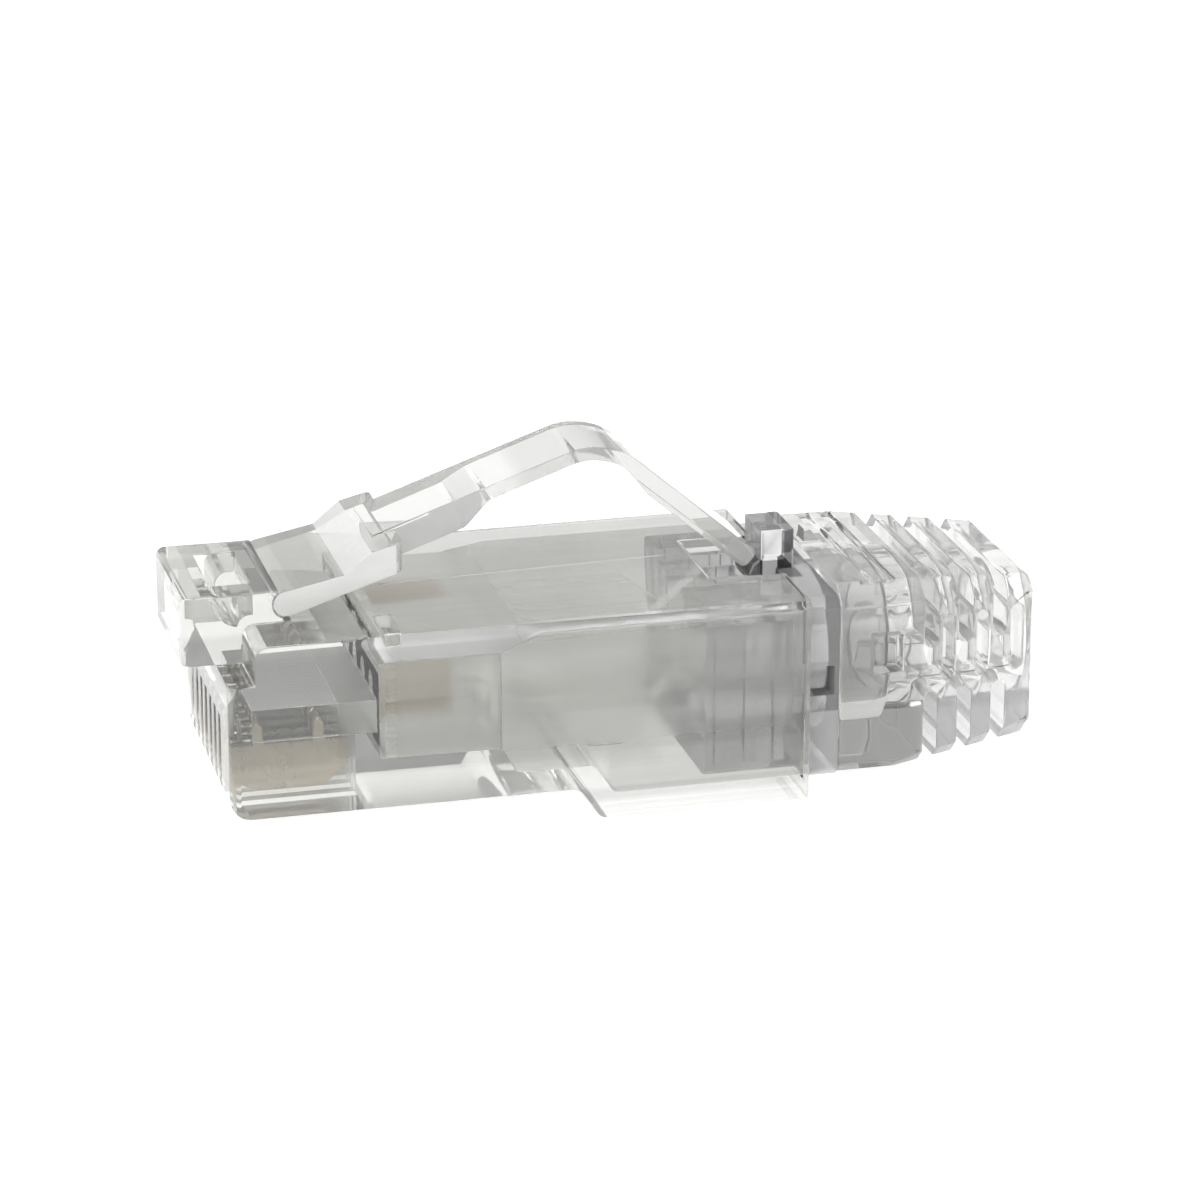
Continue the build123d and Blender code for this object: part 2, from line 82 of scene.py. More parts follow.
PATTERN_DETAIL = 3.0
SHADE_ENDS = (0.35, 0.65)  # Values of a pattern between which its two shades mix

# Sockets of the Mix node, which share their names and so are taken by number
MIX_FACTOR = 0
MIX_NUMBERS = (2, 3)
MIX_COLOURS = (6, 7)
MIXED_NUMBER = 0
MIXED_COLOUR = 2


class Finish(Enum):
    """Material slots of the record that the pieces take their finish from."""

    HOUSING = "clear_housing"
    LATCH = "clear_latch"
    INSERT = "clear_insert"
    COLLAR = "smoke_collar"
    BOOT = "clear_boot"
    CONTACT = "gold_contact"


class Body(Enum):
    """Bodies that the pieces ride on."""

    HOUSING = "housing_body"
    LEVER = "latch_lever_body"
    TAIL = "latch_tail_body"


class Pick(Enum):
    """What is selected in edit mode."""

    POINTS = "VERT"
    EDGES = "EDGE"


class Work(Enum):
    """Ways to work one solid into another."""

    FUSE = "UNION"
    CUT_OUT = "DIFFERENCE"


# Finishes


def new_material(name: str) -> tuple[bpy.types.Material, bpy.types.ShaderNodeBsdfPrincipled]:
    """Start a node material.

    Args:
        name: Name of the material.

    Returns:
        The material and its surface shader.
    """
    material = bpy.data.materials.new(name)
    material.use_nodes = True
    return material, material.node_tree.nodes["Principled BSDF"]


def add_noise(
    material: bpy.types.Material, scale: float, stretch: Sequence[float]
) -> bpy.types.Node:
    """Add a noise pattern that is fixed to the piece.

    Args:
        material: Material that the pattern is for.
        scale: Number of features in a metre.
        stretch: Scale of the pattern along X, Y and Z.

    Returns:
        The noise node.
    """
    nodes, links = material.node_tree.nodes, material.node_tree.links
    place = nodes.new("ShaderNodeTexCoord")
    mapping = nodes.new("ShaderNodeMapping")
    mapping.inputs["Scale"].default_value = stretch
    noise = nodes.new("ShaderNodeTexNoise")
    noise.inputs["Scale"].default_value = scale
    noise.inputs["Detail"].default_value = PATTERN_DETAIL
    links.new(place.outputs["Object"], mapping.inputs["Vector"])
    links.new(mapping.outputs["Vector"], noise.inputs["Vector"])
    return noise


def colour_from(
    material: bpy.types.Material,
    source: bpy.types.Node,
    low: Colour,
    high: Colour,
    socket: bpy.types.NodeSocket,
) -> None:
    """Colour a socket between two shades, as a pattern says.

    Args:
        material: Material that holds the nodes.
        source: Pattern node with a Fac output.
        low: Colour at the pattern's low values.
        high: Colour at the pattern's high values.
        socket: Socket that takes the colour.
    """
    ramp = material.node_tree.nodes.new("ShaderNodeValToRGB")
    for stop, position, colour in zip(ramp.color_ramp.elements, SHADE_ENDS, (low, high)):
        stop.position = position
        stop.color = (*colour, 1.0)
    material.node_tree.links.new(source.outputs["Fac"], ramp.inputs["Fac"])
    material.node_tree.links.new(ramp.outputs["Color"], socket)


def value_from(
    material: bpy.types.Material,
    source: bpy.types.Node,
    low: float,
    high: float,
    socket: bpy.types.NodeSocket,
) -> None:
    """Drive a number socket between two values, as a pattern says.

    Args:
        material: Material that holds the nodes.
        source: Pattern node with a Fac output.
        low: Value at the pattern's low end.
        high: Value at the pattern's high end.
        socket: Socket that takes the value.
    """
    spread = material.node_tree.nodes.new("ShaderNodeMapRange")
    spread.inputs["To Min"].default_value = low
    spread.inputs["To Max"].default_value = high
    material.node_tree.links.new(source.outputs["Fac"], spread.inputs["Value"])
    material.node_tree.links.new(spread.outputs["Result"], socket)


def bump_from(
    material: bpy.types.Material,
    source: bpy.types.Node,
    depth: float,
    socket: bpy.types.NodeSocket,
) -> None:
    """Raise and lower a surface slightly, as a pattern says.

    Args:
        material: Material that holds the nodes.
        source: Pattern node with a Fac output.
        depth: Height of the relief in metres.
        socket: Normal socket of the shader.
    """
    bump = material.node_tree.nodes.new("ShaderNodeBump")
    bump.inputs["Distance"].default_value = depth
    material.node_tree.links.new(source.outputs["Fac"], bump.inputs["Height"])
    material.node_tree.links.new(bump.outputs["Normal"], socket)


@dataclass(frozen=True)
class Patch:
    """Box on a piece, fixed to it, inside which the plastic looks different.

    Its corners are in millimetres. It is turned about its middle, and its fade is the share of
    each half of it over which the change dies away.
    """

    low: Place
    high: Place
    turn: float = 0.0
    fade: float = 0.1

    def apply(self, material: bpy.types.Material, skin: bpy.types.Node) -> None:
        """Change the skin inside the box.

        Args:
            material: Material that holds the nodes.
            skin: Surface shader to change.
        """
        raise NotImplementedError

    def mask(self, material: bpy.types.Material) -> bpy.types.NodeSocket:
        """Draw the box as a pattern that is one inside and falls to nothing at its walls.

        Args:
            material: Material that the pattern is for.

        Returns:
            Socket with the pattern.
        """
        nodes, links = material.node_tree.nodes, material.node_tree.links
        ends = list(zip(self.low, self.high))
        place = nodes.new("ShaderNodeTexCoord")
        centred = nodes.new("ShaderNodeMapping")
        centred.vector_type = "TEXTURE"
        centred.inputs["Location"].default_value = [(low + high) / 2 * MM for low, high in ends]
        centred.inputs["Rotation"].default_value = (0.0, 0.0, self.turn)
        centred.inputs["Scale"].default_value = [(high - low) / 2 * MM for low, high in ends]
        distance = nodes.new("ShaderNodeVectorMath")
        distance.operation = "ABSOLUTE"
        parts = nodes.new("ShaderNodeSeparateXYZ")
        links.new(place.outputs["Object"], centred.inputs["Vector"])
        links.new(centred.outputs["Vector"], distance.inputs[0])
        links.new(distance.outputs["Vector"], parts.inputs["Vector"])
        farthest = parts.outputs[0]
        for axis in parts.outputs[1:]:
            larger = nodes.new("ShaderNodeMath")
            larger.operation = "MAXIMUM"
            links.new(farthest, larger.inputs[0])
            links.new(axis, larger.inputs[1])
            farthest = larger.outputs["Value"]
        fall = nodes.new("ShaderNodeMapRange")
        fall.inputs["From Min"].default_value = 1.0 - self.fade
        fall.inputs["To Min"].default_value = 1.0
        fall.inputs["To Max"].default_value = 0.0
        links.new(farthest, fall.inputs["Value"])
        return fall.outputs["Result"]


@dataclass(frozen=True)
class PaintedLight(Patch):
    """Box of painted light laid over the plastic's colour: painted shade, painted highlights and
    painted reflections.
    """

    colour: Colour = (1.0, 1.0, 1.0)

    def apply(self, material: bpy.types.Material, skin: bpy.types.Node) -> None:
        """Lay the painted light over the colour that already reaches the skin.

        Args:
            material: Material that holds the nodes.
            skin: Surface shader with a linked colour.
        """
        socket = skin.inputs["Base Color"]
        mix = material.node_tree.nodes.new("ShaderNodeMix")
        mix.data_type = "RGBA"
        below, over = (mix.inputs[number] for number in MIX_COLOURS)
        over.default_value = (*self.colour, 1.0)
        links = material.node_tree.links
        links.new(self.mask(material), mix.inputs[MIX_FACTOR])
        links.new(socket.links[0].from_socket, below)
        links.new(mix.outputs[MIXED_COLOUR], socket)


@dataclass(frozen=True)
class Haze(Patch):
    """Box whose walls are less polished than the outer skin, as a mould's core leaves them."""

    roughness: float = 0.26

    def apply(self, material: bpy.types.Material, skin: bpy.types.Node) -> None:
        """Add to the roughness that already reaches the skin.

        Args:
            material: Material that holds the nodes.
            skin: Surface shader with a linked roughness.
        """
        socket = skin.inputs["Roughness"]
        sum_up = material.node_tree.nodes.new("ShaderNodeMath")
        sum_up.operation = "MULTIPLY_ADD"
        share, extra, polish = sum_up.inputs
        extra.default_value = self.roughness
        links = material.node_tree.links
        links.new(self.mask(material), share)
        links.new(socket.links[0].from_socket, polish)
        links.new(sum_up.outputs["Value"], socket)


@dataclass(frozen=True)
class FrostAndHighlight(Patch):
    """Box with a white skin that lets less light through: a frosted skin, which also paints
    highlights and lighter places onto the clear plastic.
    """

    clearness: float = 0.3

    def apply(self, material: bpy.types.Material, skin: bpy.types.Node) -> None:
        """Let less light through the skin inside the box, and colour it white.

        Args:
            material: Material that holds the nodes.
            skin: Surface shader with a linked colour.
        """
        weight = skin.inputs["Transmission Weight"]
        mix = material.node_tree.nodes.new("ShaderNodeMix")
        outside, inside = (mix.inputs[number] for number in MIX_NUMBERS)
        outside.default_value = weight.default_value
        inside.default_value = self.clearness
        links = material.node_tree.links
        links.new(self.mask(material), mix.inputs[MIX_FACTOR])
        if weight.is_linked:
            links.new(weight.links[0].from_socket, outside)
        links.new(mix.outputs[MIXED_NUMBER], weight)
        # White painted light over the frosted skin
        PaintedLight(self.low, self.high, self.turn, self.fade).apply(material, skin)


def paint_shade_by_height(
    material: bpy.types.Material, painted_shade_bands: Sequence[Point], socket: bpy.types.NodeSocket
) -> None:
    """Paint shade into a colour socket in levels by height, on top of the colour that already
    reaches it.

    Args:
        material: Material that holds the nodes.
        painted_shade_bands: Height in millimetres and brightness of each level, from the lowest up.
        socket: Linked colour socket.
    """
    nodes, links = material.node_tree.nodes, material.node_tree.links
    place = nodes.new("ShaderNodeTexCoord")
    parts = nodes.new("ShaderNodeSeparateXYZ")
    spread = nodes.new("ShaderNodeMapRange")
    lowest, highest = painted_shade_bands[0][0], painted_shade_bands[-1][0]
    spread.inputs["From Min"].default_value = lowest * MM
    spread.inputs["From Max"].default_value = highest * MM
    ramp = nodes.new("ShaderNodeValToRGB")
    stops = ramp.color_ramp.elements
    while len(stops) < len(painted_shade_bands):
        stops.new(0.5)
    for stop, (height, brightness) in zip(stops, painted_shade_bands):
        stop.position = (height - lowest) / (highest - lowest)
        stop.color = (brightness, brightness, brightness, 1.0)
    mix = nodes.new("ShaderNodeMix")
    mix.data_type = "RGBA"
    mix.blend_type = "MULTIPLY"
    mix.inputs[MIX_FACTOR].default_value = 1.0
    below, over = (mix.inputs[number] for number in MIX_COLOURS)
    links.new(place.outputs["Object"], parts.inputs["Vector"])
    links.new(parts.outputs["Z"], spread.inputs["Value"])
    links.new(spread.outputs["Result"], ramp.inputs["Fac"])
    links.new(socket.links[0].from_socket, below)
    links.new(ramp.outputs["Color"], over)
    links.new(mix.outputs[MIXED_COLOUR], socket)


@dataclass(frozen=True)
class ClearMoulding:
    """Clear moulded plastic, which greys where it is thick."""

    name: str
    tint: Colour = (0.82, 0.823, 0.8)
    clouding: Colour = (0.79, 0.793, 0.77)
    shade: Colour = (0.5, 0.5, 0.47)
    density: float = 14.0
    ior: float = 1.3
    clearness: float = 0.87
    smooth: float = 0.01
    worn: float = 0.05
    flow_scale: float = 2400.0
    flow_stretch: Place = (0.04, 1.0, 1.0)
    flow_depth: float = 0.0005 * MM
    # Levels of painted shade by height: height in mm and brightness
    painted_shade_bands: tuple[Point, ...] = ()
    # Boxes of painted light, of frosted skin and of rougher skin
    patches: tuple[Patch, ...] = ()

    def build(self) -> bpy.types.Material:
        """Make the material.

        Returns:
            Material with an even absorption inside and faint flow marks on the skin.
        """
        material, skin = new_material(self.name)
        skin.inputs["Transmission Weight"].default_value = self.clearness
        skin.inputs["IOR"].default_value = self.ior
        flow = add_noise(material, self.flow_scale, self.flow_stretch)
        colour_from(material, flow, self.clouding, self.tint, skin.inputs["Base Color"])
        # Painted shade by height
        if self.painted_shade_bands:
            paint_shade_by_height(material, self.painted_shade_bands, skin.inputs["Base Color"])
        value_from(material, flow, self.smooth, self.worn, skin.inputs["Roughness"])
        bump_from(material, flow, self.flow_depth, skin.inputs["Normal"])
        # Painted light, frosted places and rougher places
        for patch in self.patches:
            patch.apply(material, skin)
        inside = material.node_tree.nodes.new("ShaderNodeVolumeAbsorption")
        inside.inputs["Color"].default_value = (*self.shade, 1.0)
        inside.inputs["Density"].default_value = self.density
        output = material.node_tree.nodes["Material Output"]
        material.node_tree.links.new(inside.outputs["Volume"], output.inputs["Volume"])
        return material


@dataclass(frozen=True)
class PlatedBlade:
    """Thin gold plating over the contact blades, with rubbed and cloudy places."""

    name: str
    bright: Colour = (0.56, 0.49, 0.39)
    dull: Colour = (0.47, 0.42, 0.35)
    polished: float = 0.18
    rubbed: float = 0.42
    scale: float = 2500.0
    stretch: Place = (1.0, 1.0, 0.4)
    depth: float = 0.004 * MM

    def build(self) -> bpy.types.Material:
        """Make the material.

        Returns:
            Metal material with uneven colour and polish.
        """
        material, skin = new_material(self.name)
        skin.inputs["Metallic"].default_value = 1.0
        rubbing = add_noise(material, self.scale, self.stretch)
        colour_from(material, rubbing, self.dull, self.bright, skin.inputs["Base Color"])
        value_from(material, rubbing, self.polished, self.rubbed, skin.inputs["Roughness"])
        bump_from(material, rubbing, self.depth, skin.inputs["Normal"])
        return material


@dataclass(frozen=True)
class StudioPaper:
    """Pale paper of the studio floor, lit from all round so that it stays white."""

    name: str
    pale: Colour = (0.5, 0.5, 0.5)
    white: Colour = (0.54, 0.54, 0.54)
    grain: float = 60.0
    roughness: float = 0.9
    glow: float = 0.82
    glow_colour: Colour = (1.0, 1.0, 1.0)

    def build(self) -> bpy.types.Material:
        """Make the material.

        Returns:
            Matt, nearly white material.
        """
        material, skin = new_material(self.name)
        skin.inputs["Roughness"].default_value = self.roughness
        skin.inputs["Emission Color"].default_value = (*self.glow_colour, 1.0)
        skin.inputs["Emission Strength"].default_value = self.glow
        fibres = add_noise(material, self.grain, (1.0, 1.0, 1.0))
        colour_from(material, fibres, self.pale, self.white, skin.inputs["Base Color"])
        return material


# Work at the bench: small steps that every piece is made with


def only(piece: bpy.types.Object) -> bpy.types.Object:
    """Select one piece alone and make it active.

    Args:
        piece: Piece to work on.

    Returns:
        The same piece.
    """
    bpy.ops.object.select_all(action="DESELECT")
    piece.select_set(True)
    bpy.context.view_layer.objects.active = piece
    return piece


def edit(piece: bpy.types.Object, pick: Pick = Pick.POINTS, everything: bool = True) -> None:
    """Open a piece in edit mode.

    Args:
        piece: Piece to open.
        pick: What is selected in it.
        everything: Select all of it, or nothing.
    """
    only(piece)
    bpy.ops.object.mode_set(mode="EDIT")
    bpy.ops.mesh.select_mode(type=pick.value)
    bpy.ops.mesh.select_all(action="SELECT" if everything else "DESELECT")


def close(piece: bpy.types.Object) -> bpy.types.Object:
    """Leave edit mode.

    Args:
        piece: Piece that was open.

    Returns:
        The same piece.
    """
    bpy.ops.object.mode_set(mode="OBJECT")
    return piece


def select_edges(piece: bpy.types.Object, wanted: Callable[[Vector, Vector], bool]) -> int:
    """Select, in edit mode, the edges whose two ends pass a test.

    Args:
        piece: Piece to look through.
        wanted: Test of an edge's two end points.

    Returns:
        Number of edges selected.
    """
    edit(piece, Pick.EDGES, everything=False)
    bpy.ops.object.mode_set(mode="OBJECT")
    mesh = piece.data
    count = 0
    for edge in mesh.edges:
        first, second = (mesh.vertices[number].co for number in edge.vertices)
        edge.select = wanted(first, second)
        count += edge.select
    bpy.ops.object.mode_set(mode="EDIT")
    return count


def bevel(piece: bpy.types.Object, reach: float, segments: int) -> bpy.types.Object:
    """Round the selected edges of a piece in edit mode, and leave it.

    Args:
        piece: Piece that is open.
        reach: Distance from an edge to where its round begins.
        segments: Number of flats in the round.

    Returns:
        The same piece.
    """
    bpy.ops.mesh.bevel(offset=reach, offset_type="OFFSET", segments=segments, affect="EDGES")
    return close(piece)


def round_edge(
    piece: bpy.types.Object,
    place: Point,
    reach: float,
    segments: int,
    tolerance: float = 2 * NEAR,
) -> None:
    """Round the edge across the plug that stands at a place in the side view.

    Args:
        piece: Piece to shape.
        place: X and Z of the edge.
        reach: Distance from the edge to where the round begins.
        segments: Number of flats in the round.
        tolerance: How far from the place the edge may be.
    """

    def across(first: Vector, second: Vector) -> bool:
        """Tell whether an edge runs across the plug at the place."""
        ends = (first, second)
        level = all(abs(end.z - place[1]) < tolerance for end in ends)
        near = all(abs(end.x - place[0]) < tolerance for end in ends)
        return level and near and abs(first.y - second.y) > tolerance

    if select_edges(piece, across) == 0:
        raise ValueError(f"{piece.name} has no edge at {place}")
    bevel(piece, reach, segments)


def draw_profile(
    name: str, corners: Sequence[Point], width: float, middle: float = 0.0
) -> bpy.types.Object:
    """Draw a closed outline from the side, corner by corner, and pull it across the plug.

    Args:
        name: Name of the piece.
        corners: X and Z of each corner.
        width: Width across the plug.
        middle: Y of the middle of the width.

    Returns:
        The closed solid.
    """
    start = Vector((corners[0][0], middle - width / 2, corners[0][1]))
    bpy.ops.object.select_all(action="DESELECT")
    bpy.ops.mesh.primitive_plane_add(size=width, location=(0, 0, 0))
    piece = bpy.context.active_object
    piece.name = name
    edit(piece)
    bpy.ops.mesh.merge(type="CENTER")
    bpy.ops.transform.translate(value=start)
    for before, after in zip(corners, corners[1:]):
        step = (after[0] - before[0], 0.0, after[1] - before[1])
        bpy.ops.mesh.extrude_vertices_move(TRANSFORM_OT_translate={"value": step})
    bpy.ops.mesh.select_all(action="SELECT")
    bpy.ops.mesh.edge_face_add()
    bpy.ops.mesh.extrude_region_move(TRANSFORM_OT_translate={"value": (0.0, width, 0.0)})
    bpy.ops.mesh.select_all(action="SELECT")
    bpy.ops.mesh.normals_make_consistent(inside=False)
    return close(piece)


def apply_modifier(piece: bpy.types.Object, kind: str, **settings: object) -> None:
    """Add a modifier with these settings and apply it at once.

    Args:
        piece: Piece to change.
        kind: Type of the modifier.
        settings: Values of the modifier.
    """
    only(piece)
    modifier = piece.modifiers.new(kind.title(), kind)
    for name, value in settings.items():
        setattr(modifier, name, value)
    bpy.ops.object.modifier_apply(modifier=modifier.name)


def combine(piece: bpy.types.Object, other: bpy.types.Object, work: Work) -> None:
    """Work one solid into another.

    Args:
        piece: Solid that stays.
        other: Overlapping solid, which is used up.
        work: How it is worked in.
    """
    apply_modifier(piece, "BOOLEAN", operation=work.value, object=other, solver="EXACT")
    bpy.data.objects.remove(other, do_unlink=True)


def merged_copy(name: str, node: str, cuts: Sequence[Cut] = ()) -> bpy.types.Object:
    """Copy a CAD node into a new piece with whole faces in place of loose triangles.

    Args:
        name: Name of the new piece.
        node: Name of the node.
        cuts: Planes that part the faces round a hole, each as a point and a normal.

    Returns:
        The new piece.
    """
    piece = bpy.data.objects.new(name, frame["nodes"][node].data.copy())
    piece.data.materials.clear()
    bpy.context.scene.collection.objects.link(piece)
    edit(piece)
    bpy.ops.mesh.remove_doubles(threshold=WELD)
    for place, normal in cuts:
        bpy.ops.mesh.select_all(action="SELECT")
        bpy.ops.mesh.bisect(plane_co=place, plane_no=normal)
        bpy.ops.mesh.mark_seam()
    bpy.ops.mesh.select_all(action="SELECT")
    bpy.ops.mesh.dissolve_limited(angle_limit=FLAT, delimit={"SEAM"})
    return close(piece)


def soften_edges(
    piece: bpy.types.Object, width: float, segments: int = 2, sharp: float = 40.0
) -> None:
    """Round every sharp edge of a piece a little, as a mould does, and keep it in its old box.

    Args:
        piece: Piece to change.
        width: Width of the rounding.
        segments: Number of flats in it.
        sharp: Smallest turn, in degrees, that counts as an edge.
    """
    reach = [[vertex.co[axis] for vertex in piece.data.vertices] for axis in range(3)]
    box = [(min(values), max(values)) for values in reach]
    apply_modifier(
        piece,
        "BEVEL",
        width=width,
        segments=segments,
        limit_method="ANGLE",
        angle_limit=radians(sharp),
        use_clamp_overlap=False,
    )
    for vertex in piece.data.vertices:
        vertex.co = [min(max(value, low), high) for value, (low, high) in zip(vertex.co, box)]


def shade(piece: bpy.types.Object, angle: float = 35.0, weight: int = 90) -> None:
    """Shade curves smooth, keep the real edges and keep flat walls flat.

    Args:
        piece: Piece to shade.
        angle: Largest turn, in degrees, that is shaded smooth.
        weight: How strongly the larger faces keep themselves flat, up to 100.
    """
    only(piece)
    bpy.ops.object.shade_smooth_by_angle(angle=radians(angle))
    apply_modifier(piece, "WEIGHTED_NORMAL", mode="FACE_AREA", weight=weight, keep_sharp=True)


def dress(
    piece: bpy.types.Object, material: bpy.types.Material, body: Body, node: str
) -> None:
    """Give a piece its finish and the body that it rides on, and hide the node that it stands for.

    Args:
        piece: Finished piece.
        material: Its material.
        body: Body that it rides on.
        node: Name of the node that it replaces.
    """
    piece.data.materials.clear()
    piece.data.materials.append(material)
    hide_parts(node)
    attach(piece, body.value)
    log.info("%s: %d faces on %s", piece.name, len(piece.data.polygons), body.value)


# Sub-assemblies


@dataclass
class Shell:
    """The clear housing, from its nose and pedestal to the deeper belly at the back."""

    edge: float = 0.05 * MM
    crisp: float = 65.0
    window_middle: float = -9.015 * MM
    slot_level: float = 4.4 * MM
    finish: ClearMoulding = field(
        default_factory=lambda: ClearMoulding(
            "housing_clear",
            tint=(0.96, 0.963, 0.94),
            clouding=(0.9, 0.903, 0.88),
            # Painted shade by height: the sides and a low strip darker than the top
            painted_shade_bands=(
                (0.0, 1.0),
                (0.6, 1.0),
                (0.8, 0.76),
                (1.2, 0.76),
                (1.3, 1.0),
                (2.5, 1.0),
                (2.8, 0.76),
                (7.4, 0.76),
                (7.7, 0.97),
                (9.1, 0.97),
            ),
            patches=(
                # Walls of the cavity, roughest at the wire row
                Haze((-9.2, -5.2, 2.7), (6.8, 5.2, 7.1), fade=0.05),
                Haze((-11.0, -5.2, 2.7), (-9.2, 5.2, 7.1), roughness=0.6),
                # Painted highlight on the front edge of the tail slot
                FrostAndHighlight((3.85, -2.45, 7.6), (4.2, 2.45, 8.0)),
                # Painted shade on the lower side at the rear
                PaintedLight((-1.0, -6.0, 0.8), (7.0, 6.0, 2.8), colour=(0.7, 0.703, 0.685)),
                # Painted shade on the strip in front of the hinge
                PaintedLight((-13.75, -3.2, 8.9), (-12.65, 3.2, 9.2), colour=(0.3, 0.3, 0.29)),
                # Painted highlight along the rail on the near side
                PaintedLight((-11.0, -6.0, 7.5), (7.0, -5.5, 8.2)),
                # Painted shade on the walls beside the load bar and behind it
                PaintedLight((-10.3, -6.0, 2.7), (-4.8, 6.0, 7.3), colour=(0.8, 0.803, 0.785)),
                PaintedLight((-5.5, -9.0, 1.9), (1.3, 9.0, 7.9), fade=0.3, colour=(0.66, 0.663, 0.645)),
                # Painted highlight: a bright line from the latch to the tail slot
                FrostAndHighlight((-8.7, 0.37, 7.8), (3.3, 0.53, 8.1), turn=0.063, clearness=0.5),
            ),
        )
    )

    def build(self) -> bpy.types.Object:
        """Make the housing.

        Returns:
            The finished piece.
        """
        cuts = [
            ((self.window_middle, 0.0, 0.0), ALONG),
            (MIDDLE, ACROSS),
            ((0.0, 0.0, self.slot_level), UP),
        ]
        piece = merged_copy("housing_shell", "housing", cuts)
        soften_edges(piece, self.edge, sharp=self.crisp)
        shade(piece)
        dress(piece, self.finish.build(), Body.HOUSING, "housing")
        return piece


@dataclass
class Insides:
    """Load bar and pair guide, which show through the housing."""

    edge: float = 0.05 * MM
    hole_rows: tuple[float, float] = (4.19 * MM, 5.31 * MM)
    finish: ClearMoulding = field(
        default_factory=lambda: ClearMoulding(
            "insert_clear",
            tint=(0.98, 0.983, 0.97),
            clouding=(0.96, 0.963, 0.95),
            density=8.0,
            ior=1.02,
            clearness=0.95,
            smooth=0.2,
            worn=0.35,
            patches=(
                # Blades mirrored in the side and in the top of the load bar
                PaintedLight((-9.6, -5.0, 4.4), (-6.6, -3.5, 6.7), fade=0.15, colour=(0.66, 0.55, 0.44)),
                PaintedLight((-8.9, -0.5, 5.8), (-5.8, 2.0, 6.7), fade=0.15, colour=(0.58, 0.455, 0.36)),
            ),
        )
    )

    def build(self) -> list[bpy.types.Object]:
        """Make both inserts.

        Returns:
            The finished pieces.
        """
        material = self.finish.build()
        pieces = []
        rows = [((0.0, 0.0, height), UP) for height in self.hole_rows]
        for node, cuts in (("load_bar", rows), ("pair_guide", [])):
            piece = merged_copy(f"wire_{node}", node, cuts)
            soften_edges(piece, self.edge)
            shade(piece)
            dress(piece, material, Body.HOUSING, node)
            pieces.append(piece)
        return pieces


@dataclass
class ContactSet:
    """Eight plated blades with pierced tips, in the slots of the nose."""

    count: int = 8
    edge: float = 0.03 * MM
    finish: PlatedBlade = field(default_factory=lambda: PlatedBlade("contact_gold"))

    def build(self) -> list[bpy.types.Object]:
        """Make the blades.

        Returns:
            The finished pieces.
        """
        material = self.finish.build()
        pieces = []
        for number in range(1, self.count + 1):
            node = f"contact_{number}"
            piece = merged_copy(f"contact_blade_{number}", node)
            soften_edges(piece, self.edge, segments=1)
            shade(piece)
            dress(piece, material, Body.HOUSING, node)
            pieces.append(piece)
        return pieces


@dataclass
class Collar:
    """Smoke-tinted collar with the key block that stands behind the latch."""

    edge: float = 0.04 * MM
    bore_height: float = 4.4 * MM
    key_side: float = 1.17 * MM
    recess_low: Point = (6.36 * MM, 8.2 * MM)
    recess_high: Point = (7.12 * MM, 9.38 * MM)
    recess_corner: float = 0.14 * MM
    recess_segments: int = 5
    recess_depth: float = 0.06 * MM
    finish: ClearMoulding = field(
        default_factory=lambda: ClearMoulding(
            "collar_smoke",
            tint=(0.95, 0.945, 0.955),
            clouding=(0.91, 0.905, 0.915),
            shade=(0.5, 0.49, 0.5),
            density=8.0,
            clearness=0.75,
            patches=(
                # Floors of the two recesses of the key
                FrostAndHighlight((6.3, -1.15, 8.1), (7.2, -1.05, 9.45), fade=0.02, clearness=0.1),
                FrostAndHighlight((6.3, 1.05, 8.1), (7.2, 1.15, 9.45), fade=0.02, clearness=0.1),
                # Painted shade at the root of the key, on its rear and on the ground of the tail
                # slot
                PaintedLight((6.1, -2.4, 6.9), (7.7, 2.4, 8.1), colour=(0.2, 0.196, 0.2)),
                PaintedLight((7.2, -1.3, 7.8), (7.8, 1.3, 9.3), colour=(0.3, 0.29, 0.31)),
                PaintedLight((4.3, -1.0, 6.5), (6.0, 1.0, 7.6), colour=(0.2, 0.196, 0.2)),
                # Lower part of the neck, painted lighter
                FrostAndHighlight((6.95, -5.2, 0.3), (8.4, 5.2, 3.2)),
            ),
        )
    )

    def recess_key(self, piece: bpy.types.Object) -> None:
        """Sink a shallow window with round corners into both sides of the key block.

        Args:
            piece: The collar.
        """
        (left, low), (right, high) = self.recess_low, self.recess_high
        corners = [(left, low), (right, low), (right, high), (left, high)]
        for side in (-self.key_side, self.key_side):
            cutter = draw_profile("key_recess", corners, 2 * self.recess_depth, side)
            for corner in corners:
                round_edge(cutter, corner, self.recess_corner, self.recess_segments)
            combine(piece, cutter, Work.CUT_OUT)

    def build(self) -> bpy.types.Object:
        """Make the collar.

        Returns:
            The finished piece.
        """
        cuts = [(MIDDLE, ACROSS), ((0.0, 0.0, self.bore_height), UP)]
        piece = merged_copy("cable_collar", "collar", cuts)
        soften_edges(piece, self.edge)
        self.recess_key(piece)
        shade(piece)
        dress(piece, self.finish.build(), Body.HOUSING, "collar")
        return piece


